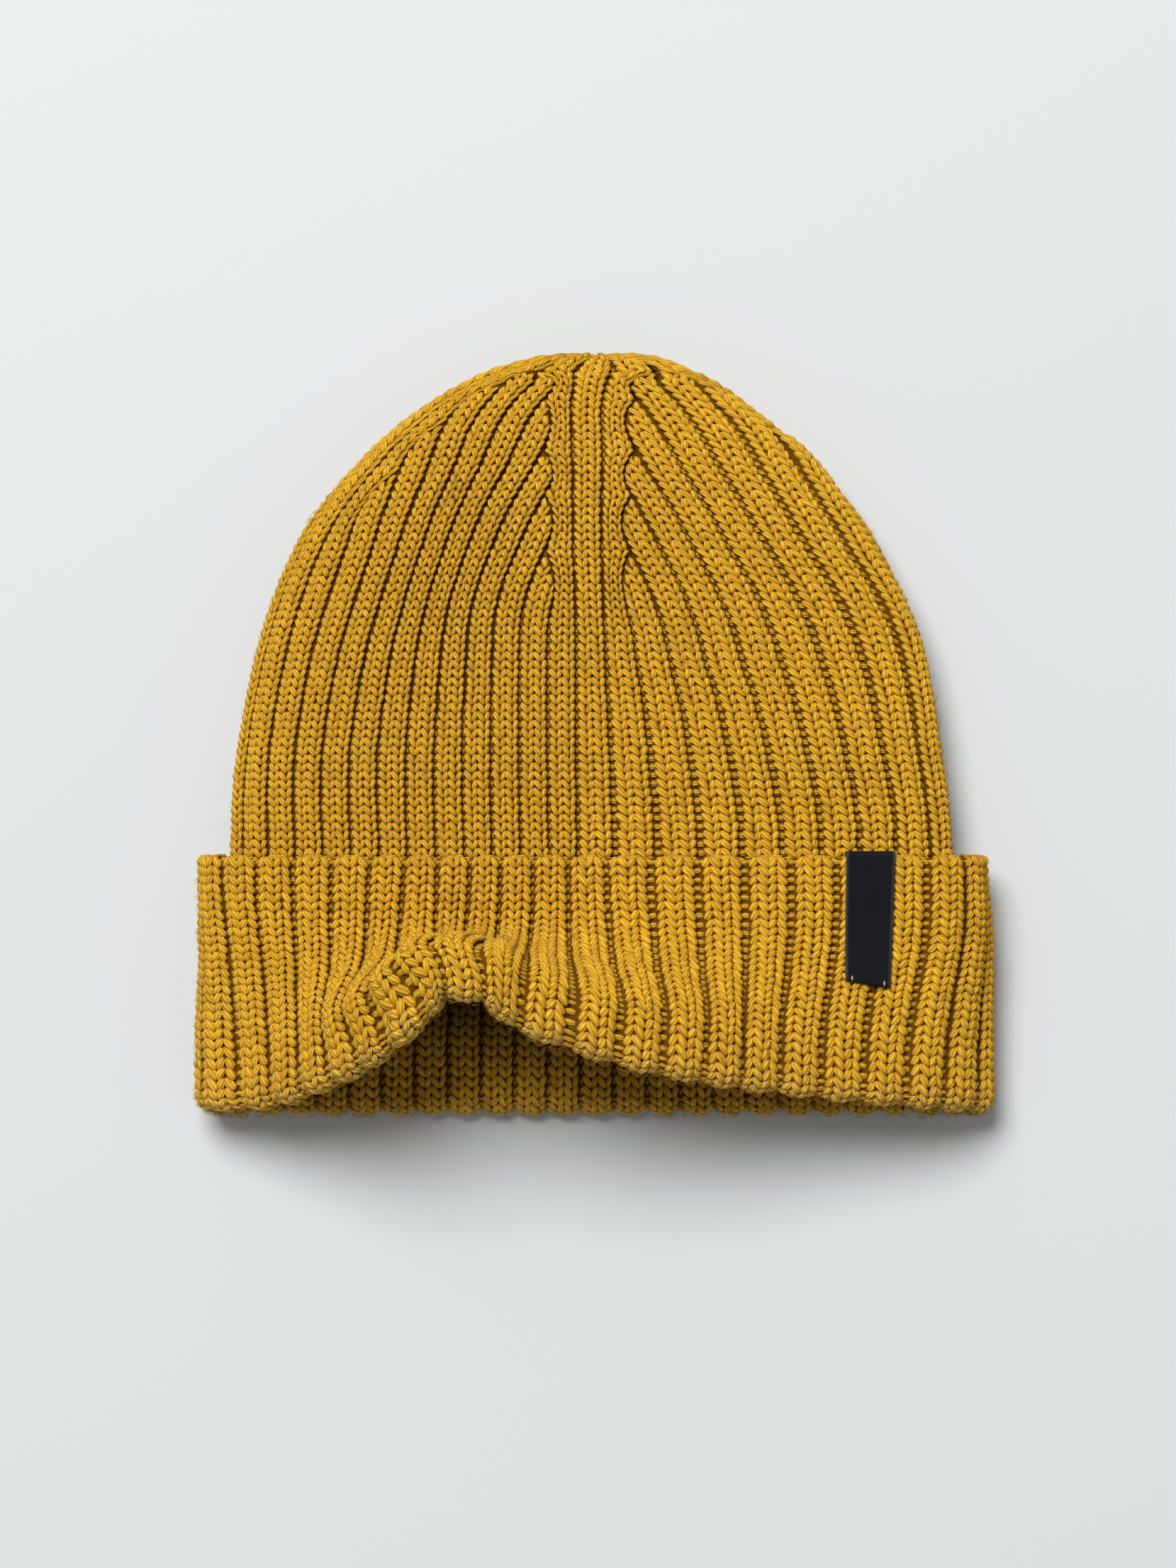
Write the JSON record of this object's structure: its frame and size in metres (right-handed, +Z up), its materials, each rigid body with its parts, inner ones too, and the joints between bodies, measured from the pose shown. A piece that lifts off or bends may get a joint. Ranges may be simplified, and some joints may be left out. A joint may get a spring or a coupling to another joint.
{
  "type": "fisherman beanie",
  "caption": "Chunky ribbed knit beanie lying flat on its back, with a domed crown, a deep turned-up cuff pushed open at the front, and a folded woven label.",
  "frame": {"origin": "under the middle of the hat as it lies, on the surface that it lies on", "axes": "+Z up out of the front of the hat, +Y from the mouth towards the crown's tip, +X to the right as the front is seen"},
  "size_m": [0.2186, 0.2116, 0.0769],
  "materials": {
    "crown_knit": "mustard wool yarn in two by two rib, matt with a soft fuzz",
    "cuff_knit": "mustard wool yarn in two by two rib, turned up so that its other side shows",
    "label_weave": "fine black satin weave with a thin selvedge, left bare"
  },
  "bodies": {
    "root": {"crown": "crown_knit", "cuff": "cuff_knit", "label": "label_weave"}
  },
  "joints": []
}
